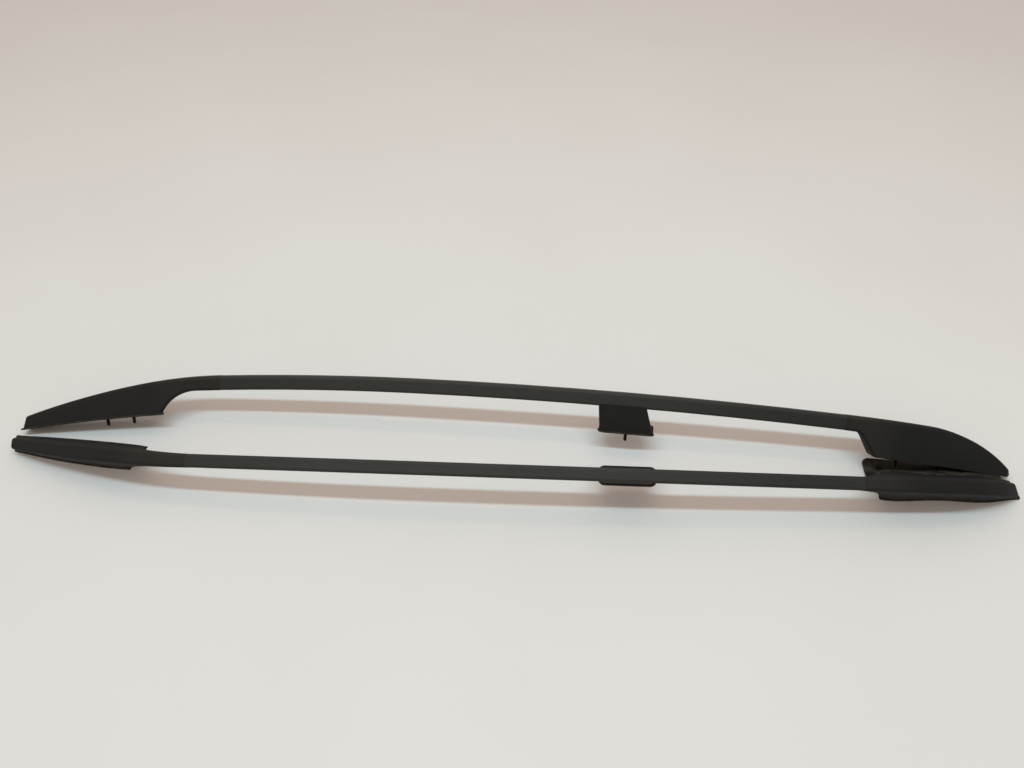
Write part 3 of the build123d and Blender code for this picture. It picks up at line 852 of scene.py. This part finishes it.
@dataclass
class SealLips:
    """Moulded lips of a gasket: a bead round its edge, a rib under it and a ring round each hole."""

    thickness: float = 3.0
    bead_radius: float = 1.1
    rib_radius: float = 0.5
    rib_inset: float = 3.2
    ring_radius: float = 0.6
    ring_outset: float = 1.5
    sides: int = 10
    crease: float = 60.0
    flat_angle: float = 25.0

    def tree(self) -> bpy.types.NodeTree:
        """Build the tree that runs a round lip along every path, as thick as the path's size says.

        Returns:
            The tree, with inputs for the lip's sides and the material.
        """
        tree, given = new_geometry_tree("seal_lip", {
            "Sides": "NodeSocketInt", "Material": "NodeSocketMaterial"})
        path = add_node(tree, "GeometryNodeMeshToCurve", links={0: given.outputs["Geometry"]})
        size = add_node(tree, "GeometryNodeInputNamedAttribute", {"Name": "size"}, data_type="FLOAT")
        round_edge = add_node(tree, "GeometryNodeCurvePrimitiveCircle", {"Radius": 1.0},
                              {"Resolution": given.outputs["Sides"]})
        lip = add_node(tree, "GeometryNodeCurveToMesh",
                       links={"Curve": path.outputs[0], "Profile Curve": round_edge.outputs[0],
                              "Scale": size.outputs[0]})
        end_geometry_tree(tree, lip.outputs[0], given.outputs["Material"])
        return tree

    def skins(self, solid: bmesh.types.BMesh) -> list[set]:
        """Part a gasket's faces into smooth areas, the largest first."""
        left = set(solid.faces)
        found = []
        limit = math.radians(self.flat_angle)
        while left:
            skin, edge = set(), {left.pop()}
            while edge:
                skin |= edge
                edge = {g for f in edge for e in f.edges if e.calc_face_angle(math.pi) < limit
                        for g in e.link_faces} - skin
            left -= skin
            found.append(skin)
        return sorted(found, key=lambda s: -sum(f.calc_area() for f in s))

    def rims(self, skin: set) -> list[list[tuple[Vector, Vector, Vector]]]:
        """Follow the rims of a smooth area, the longest first.

        Args:
            skin: The faces of the area.

        Returns:
            For each rim its points, each with the way into the area and the area's normal.
        """
        border = {}
        for face in skin:
            for loop in face.loops:
                if not any(g in skin and g is not face for g in loop.edge.link_faces):
                    border[loop.vert] = (loop.link_loop_next.vert, face)
        rims = []
        while border:
            first = next(iter(border))
            rim, vert = [], first
            while vert in border:
                after, face = border.pop(vert)
                rim.append((vert.co.copy(), (after.co - vert.co).normalized(), face.normal.copy()))
                vert = after
            points = []
            for i, (place, way, normal) in enumerate(rim):
                tangent = (way + rim[i - 1][1]).normalized()
                points.append((place, normal.cross(tangent).normalized(), normal))
            rims.append(points)
        return sorted(rims, key=lambda r: -sum((a[0] - b[0]).length for a, b in zip(r, r[1:] + r[:1])))

    def paths(self, node: str, loose: bool) -> list[tuple[list[Vector], float]]:
        """Lay the lips' paths on a CAD gasket.

        Args:
            node: The gasket's CAD node.
            loose: True for the gasket that hangs from its foot and so shows its upper side too.

        Returns:
            Closed paths, each with the radius of its lip in metres.
        """
        solid = merged(node)
        lower, upper = sorted(self.skins(solid)[:2],
                              key=lambda skin: sum(f.calc_center_median().z for f in skin) / len(skin))
        edge, *rings = self.rims(lower)
        if loose:
            rings += self.rims(upper)[1:]
        found = [
            ([p - n * self.thickness / 2 * MM for p, _, n in edge], self.bead_radius * MM),
            ([p + inward * self.rib_inset * MM for p, inward, _ in edge], self.rib_radius * MM),
        ]
        for ring in rings:
            around = [p + inward * self.ring_outset * MM for p, inward, _ in ring]
            found.append((around, self.ring_radius * MM))
        solid.free()
        return found

    def build(self, name: str, node: str, loose: bool, tree: bpy.types.NodeTree,
              rubber: bpy.types.Material) -> bpy.types.Object:
        """Build the lips of one gasket.

        Args:
            name: The piece's name.
            node: The gasket's CAD node.
            loose: True for the gasket that hangs from its foot.
            tree: The lips' tree.
            rubber: The gasket's material.

        Returns:
            The lips as one piece.
        """
        points, edges, sizes = [], [], []
        for path, size in self.paths(node, loose):
            first = len(points)
            count = len(path)
            points += path
            sizes += [size] * count
            edges += [(first + i, first + (i + 1) % count) for i in range(count)]
        mesh = bpy.data.meshes.new(name)
        mesh.from_pydata(points, edges, [])
        mesh.attributes.new("size", "FLOAT", "POINT").data.foreach_set("value", sizes)
        piece = new_object(name, mesh)
        run_tree(piece, tree, {"Sides": self.sides, "Material": rubber}, self.crease)
        return piece


@dataclass
class RoofRail:
    """One rail of the pair: dresses its CAD nodes and adds its threads, screws and gasket lips."""

    side: Side
    finishes: dict[Slot, bpy.types.Material]
    trees: dict[str, bpy.types.NodeTree]
    studs: ThreadedStuds
    screws: dict[HeadForm, DrivenScrews]
    lips: SealLips

    def node(self, name: str) -> str:
        """Name of this rail's CAD node."""
        return f"{self.side.value}_{name}"

    def dress(self) -> None:
        """Give every CAD node of the rail the finish of its slot."""
        for part in frame["record"]["subparts"]:
            if part["node"].startswith(self.side.value):
                mesh = frame["nodes"][part["node"]].data
                mesh.materials.clear()
                mesh.materials.append(self.finishes[Slot(part["material_slot"])])
                LOG.info("dressed %s as %s", part["node"], part["material_slot"])

    def add_studs(self) -> None:
        """Set threaded studs in the place of the plain ones."""
        steel = self.finishes[Slot.STEEL]
        for end in End:
            node = self.node("centre_stud" if end is End.CENTRE else f"{end.value}_studs")
            start = self.node(end.value)
            mounts = [mount for mount in frame["record"]["mounts"] if mount["name"].startswith(start)]
            piece = self.studs.build(f"{node}_threaded", mounts, self.trees["stud"], steel)
            settle(piece, [node])

    def add_screws(self) -> None:
        """Set screws with driven heads in the place of the plain ones."""
        steel = self.finishes[Slot.STEEL]
        forms = {"centre_leg_screws": HeadForm.PAN}
        for end in (End.FRONT, End.REAR):
            forms[f"{end.value}_bar_screws"] = HeadForm.FLAT
            forms[f"{end.value}_cover_screws"] = HeadForm.PAN
        for name, form in forms.items():
            node = self.node(name)
            piece = self.screws[form].build(f"{node}_driven", node, self.trees[form.value], steel)
            settle(piece, [node])

    def add_lips(self) -> None:
        """Add the lips of the three gaskets."""
        rubber = self.finishes[Slot.GASKET]
        for end in End:
            node = self.node(f"{end.value}_gasket")
            loose = self.side is Side.RIGHT and end is End.REAR
            piece = self.lips.build(f"{node}_lips", node, loose, self.trees["lip"], rubber)
            settle(piece)

    def build(self) -> None:
        """Dress the rail and add its pieces."""
        self.dress()
        self.add_studs()
        self.add_screws()
        self.add_lips()


@dataclass
class TubeLamp:
    """A long soft lamp above the pair, parallel to the rails; places in metres."""

    name: str
    place: tuple[float, float, float]
    length: float
    width: float
    power: float
    tint: str

    def build(self) -> None:
        """Hang the lamp so that it shines straight at the pair's middle line."""
        data = bpy.data.lights.new(self.name, "AREA")
        data.shape = "RECTANGLE"
        data.size = self.length
        data.size_y = self.width
        data.energy = self.power
        data.color = linear(self.tint)[:3]
        lamp = bpy.data.objects.new(self.name, data)
        bpy.context.scene.collection.objects.link(lamp)
        aim = Vector((self.place[0], 0.0, 0.0)) - Vector(self.place)
        lamp.location = self.place
        lamp.rotation_euler = aim.to_track_quat("-Z", "Y").to_euler()
        LOG.info("lamp %s", self.name)


@dataclass
class ViewCamera:
    """The camera: its place in millimetres, its angles in degrees, its focal length in the image's pixels."""

    place: tuple[float, float, float] = (77.004, -914.066, 1128.844)
    yaw: float = 3.93
    pitch: float = 45.485
    roll: float = -0.252
    focal: float = 828.739
    image_width: float = 1024.0
    sensor: float = 36.0

    def build(self) -> None:
        """Place the camera and make it the scene's own."""
        yaw, pitch, roll = (math.radians(angle) for angle in (self.yaw, self.pitch, self.roll))
        ahead = Vector((-math.sin(yaw) * math.cos(pitch), math.cos(yaw) * math.cos(pitch), -math.sin(pitch)))
        level = Vector((math.cos(yaw), math.sin(yaw), 0.0))
        above = level.cross(ahead)
        across = math.cos(roll) * level + math.sin(roll) * above
        upright = math.cos(roll) * above - math.sin(roll) * level
        data = bpy.data.cameras.new("view_camera")
        data.sensor_fit = "HORIZONTAL"
        data.sensor_width = self.sensor
        data.lens = self.sensor * self.focal / self.image_width
        camera = bpy.data.objects.new("view_camera", data)
        bpy.context.scene.collection.objects.link(camera)
        turn = Matrix((across, upright, -ahead)).transposed()
        camera.matrix_world = Matrix.Translation(Vector(self.place) * MM) @ turn.to_4x4()
        bpy.context.scene.camera = camera
        LOG.info("camera %s", camera.name)


@dataclass
class Studio:
    """Floor, light and camera around the pair; sizes in metres."""

    floor_half: float = 6.0
    sky: str = "#fff3eb"
    sky_strength: float = 0.665

    def add_floor(self, board: bpy.types.Material) -> None:
        """Lay the floor at the height on which the rails stand.

        Args:
            board: The floor's material.
        """
        half = self.floor_half
        mesh = bpy.data.meshes.new("floor")
        corners = [(-half, -half, 0), (half, -half, 0), (half, half, 0), (-half, half, 0)]
        mesh.from_pydata(corners, [], [(0, 1, 2, 3)])
        mesh.materials.append(board)
        new_object("floor", mesh)

    def add_sky(self) -> None:
        """Light the scene evenly from all round."""
        world = bpy.data.worlds.new("even_light")
        world.use_nodes = True
        back = world.node_tree.nodes["Background"]
        back.inputs["Color"].default_value = linear(self.sky)
        back.inputs["Strength"].default_value = self.sky_strength
        bpy.context.scene.world = world

    def build(self) -> None:
        """Set up floor, light and camera."""
        self.add_floor(PaleBoard("white_faced_board", None).make())
        self.add_sky()
        TubeLamp("key_tube", (0.0, -0.55, 3.0), length=3.4, width=0.2, power=56.0, tint="#ceefff").build()
        TubeLamp("back_tube", (0.0, 0.7, 3.0), length=3.0, width=0.2, power=8.0, tint="#ffcbbc").build()
        ViewCamera().build()
        bpy.context.scene.view_settings.view_transform = "Standard"


def main() -> None:
    """Build the studio and both rails."""
    logging.basicConfig(level=logging.INFO, format="%(message)s")
    Studio().build()
    finishes = [
        PowderCoat("powder_coated_aluminium", Slot.BAR),
        GrainedMoulding("grained_nylon", Slot.MOULDING),
        SealRubber("seal_rubber", Slot.GASKET),
        CastAluminium("die_cast_aluminium", Slot.CASTING),
        BlackZinc("black_zinc_steel", Slot.STEEL),
    ]
    materials = {finish.slot: finish.make() for finish in finishes}
    studs, lips = ThreadedStuds(), SealLips()
    screws = {HeadForm.PAN: DrivenScrews(HeadForm.PAN, head_height=2.4, drive_depth=1.5),
              HeadForm.FLAT: DrivenScrews(HeadForm.FLAT, head_height=1.6, drive_depth=1.2)}
    trees = {"stud": studs.tree(), "lip": lips.tree()}
    for form, kind in screws.items():
        trees[form.value] = kind.tree()
    for side in Side:
        RoofRail(side, materials, trees, studs, screws, lips).build()


if __name__ == "__main__":
    main()
